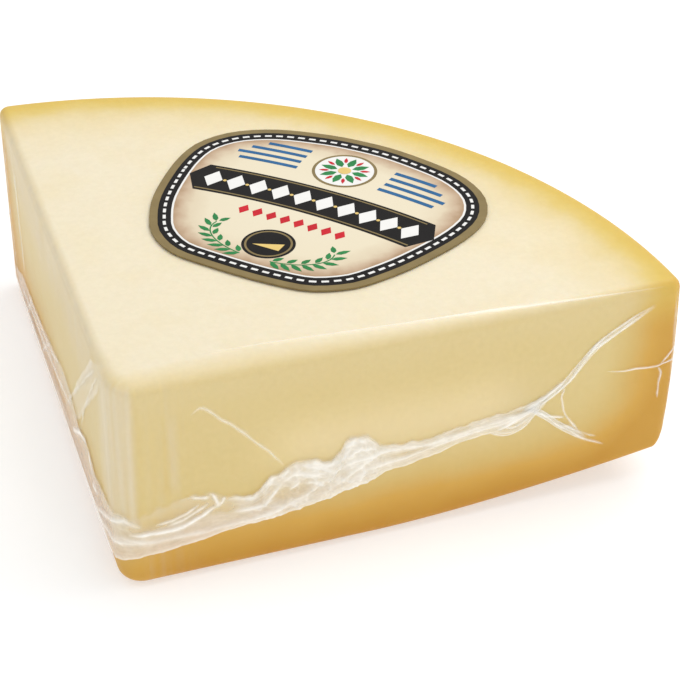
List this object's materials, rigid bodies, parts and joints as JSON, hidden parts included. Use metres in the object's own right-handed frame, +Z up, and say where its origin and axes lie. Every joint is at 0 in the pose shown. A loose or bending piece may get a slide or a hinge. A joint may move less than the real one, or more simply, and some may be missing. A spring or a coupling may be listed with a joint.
{
  "type": "parmesan chunk",
  "caption": "Quarter-round chunk of hard cheese, cut level through half a wheel, sealed in clear film with gathered folds and a shield-shaped sticker on top.",
  "frame": {"origin": "on the floor, under the middle of the chunk's bounding box", "axes": "+Z up, off the underside's rind towards the level top cut; -Y is the way the front cut faces; the tip of the wedge points to -X -Y and the curved rind to +X +Y"},
  "size_m": [0.1578, 0.1594, 0.0657],
  "materials": {
    "cheese": "pale yellow hard cheese under clear glossy film, golden towards the rind",
    "film": "thin clear shrink film, whitish where it is gathered",
    "label": "semi-gloss printed sticker, cream panel inside black and old-gold borders"
  },
  "bodies": {
    "root": {"sealed_wedge": "cheese", "label": "label"}
  },
  "joints": []
}
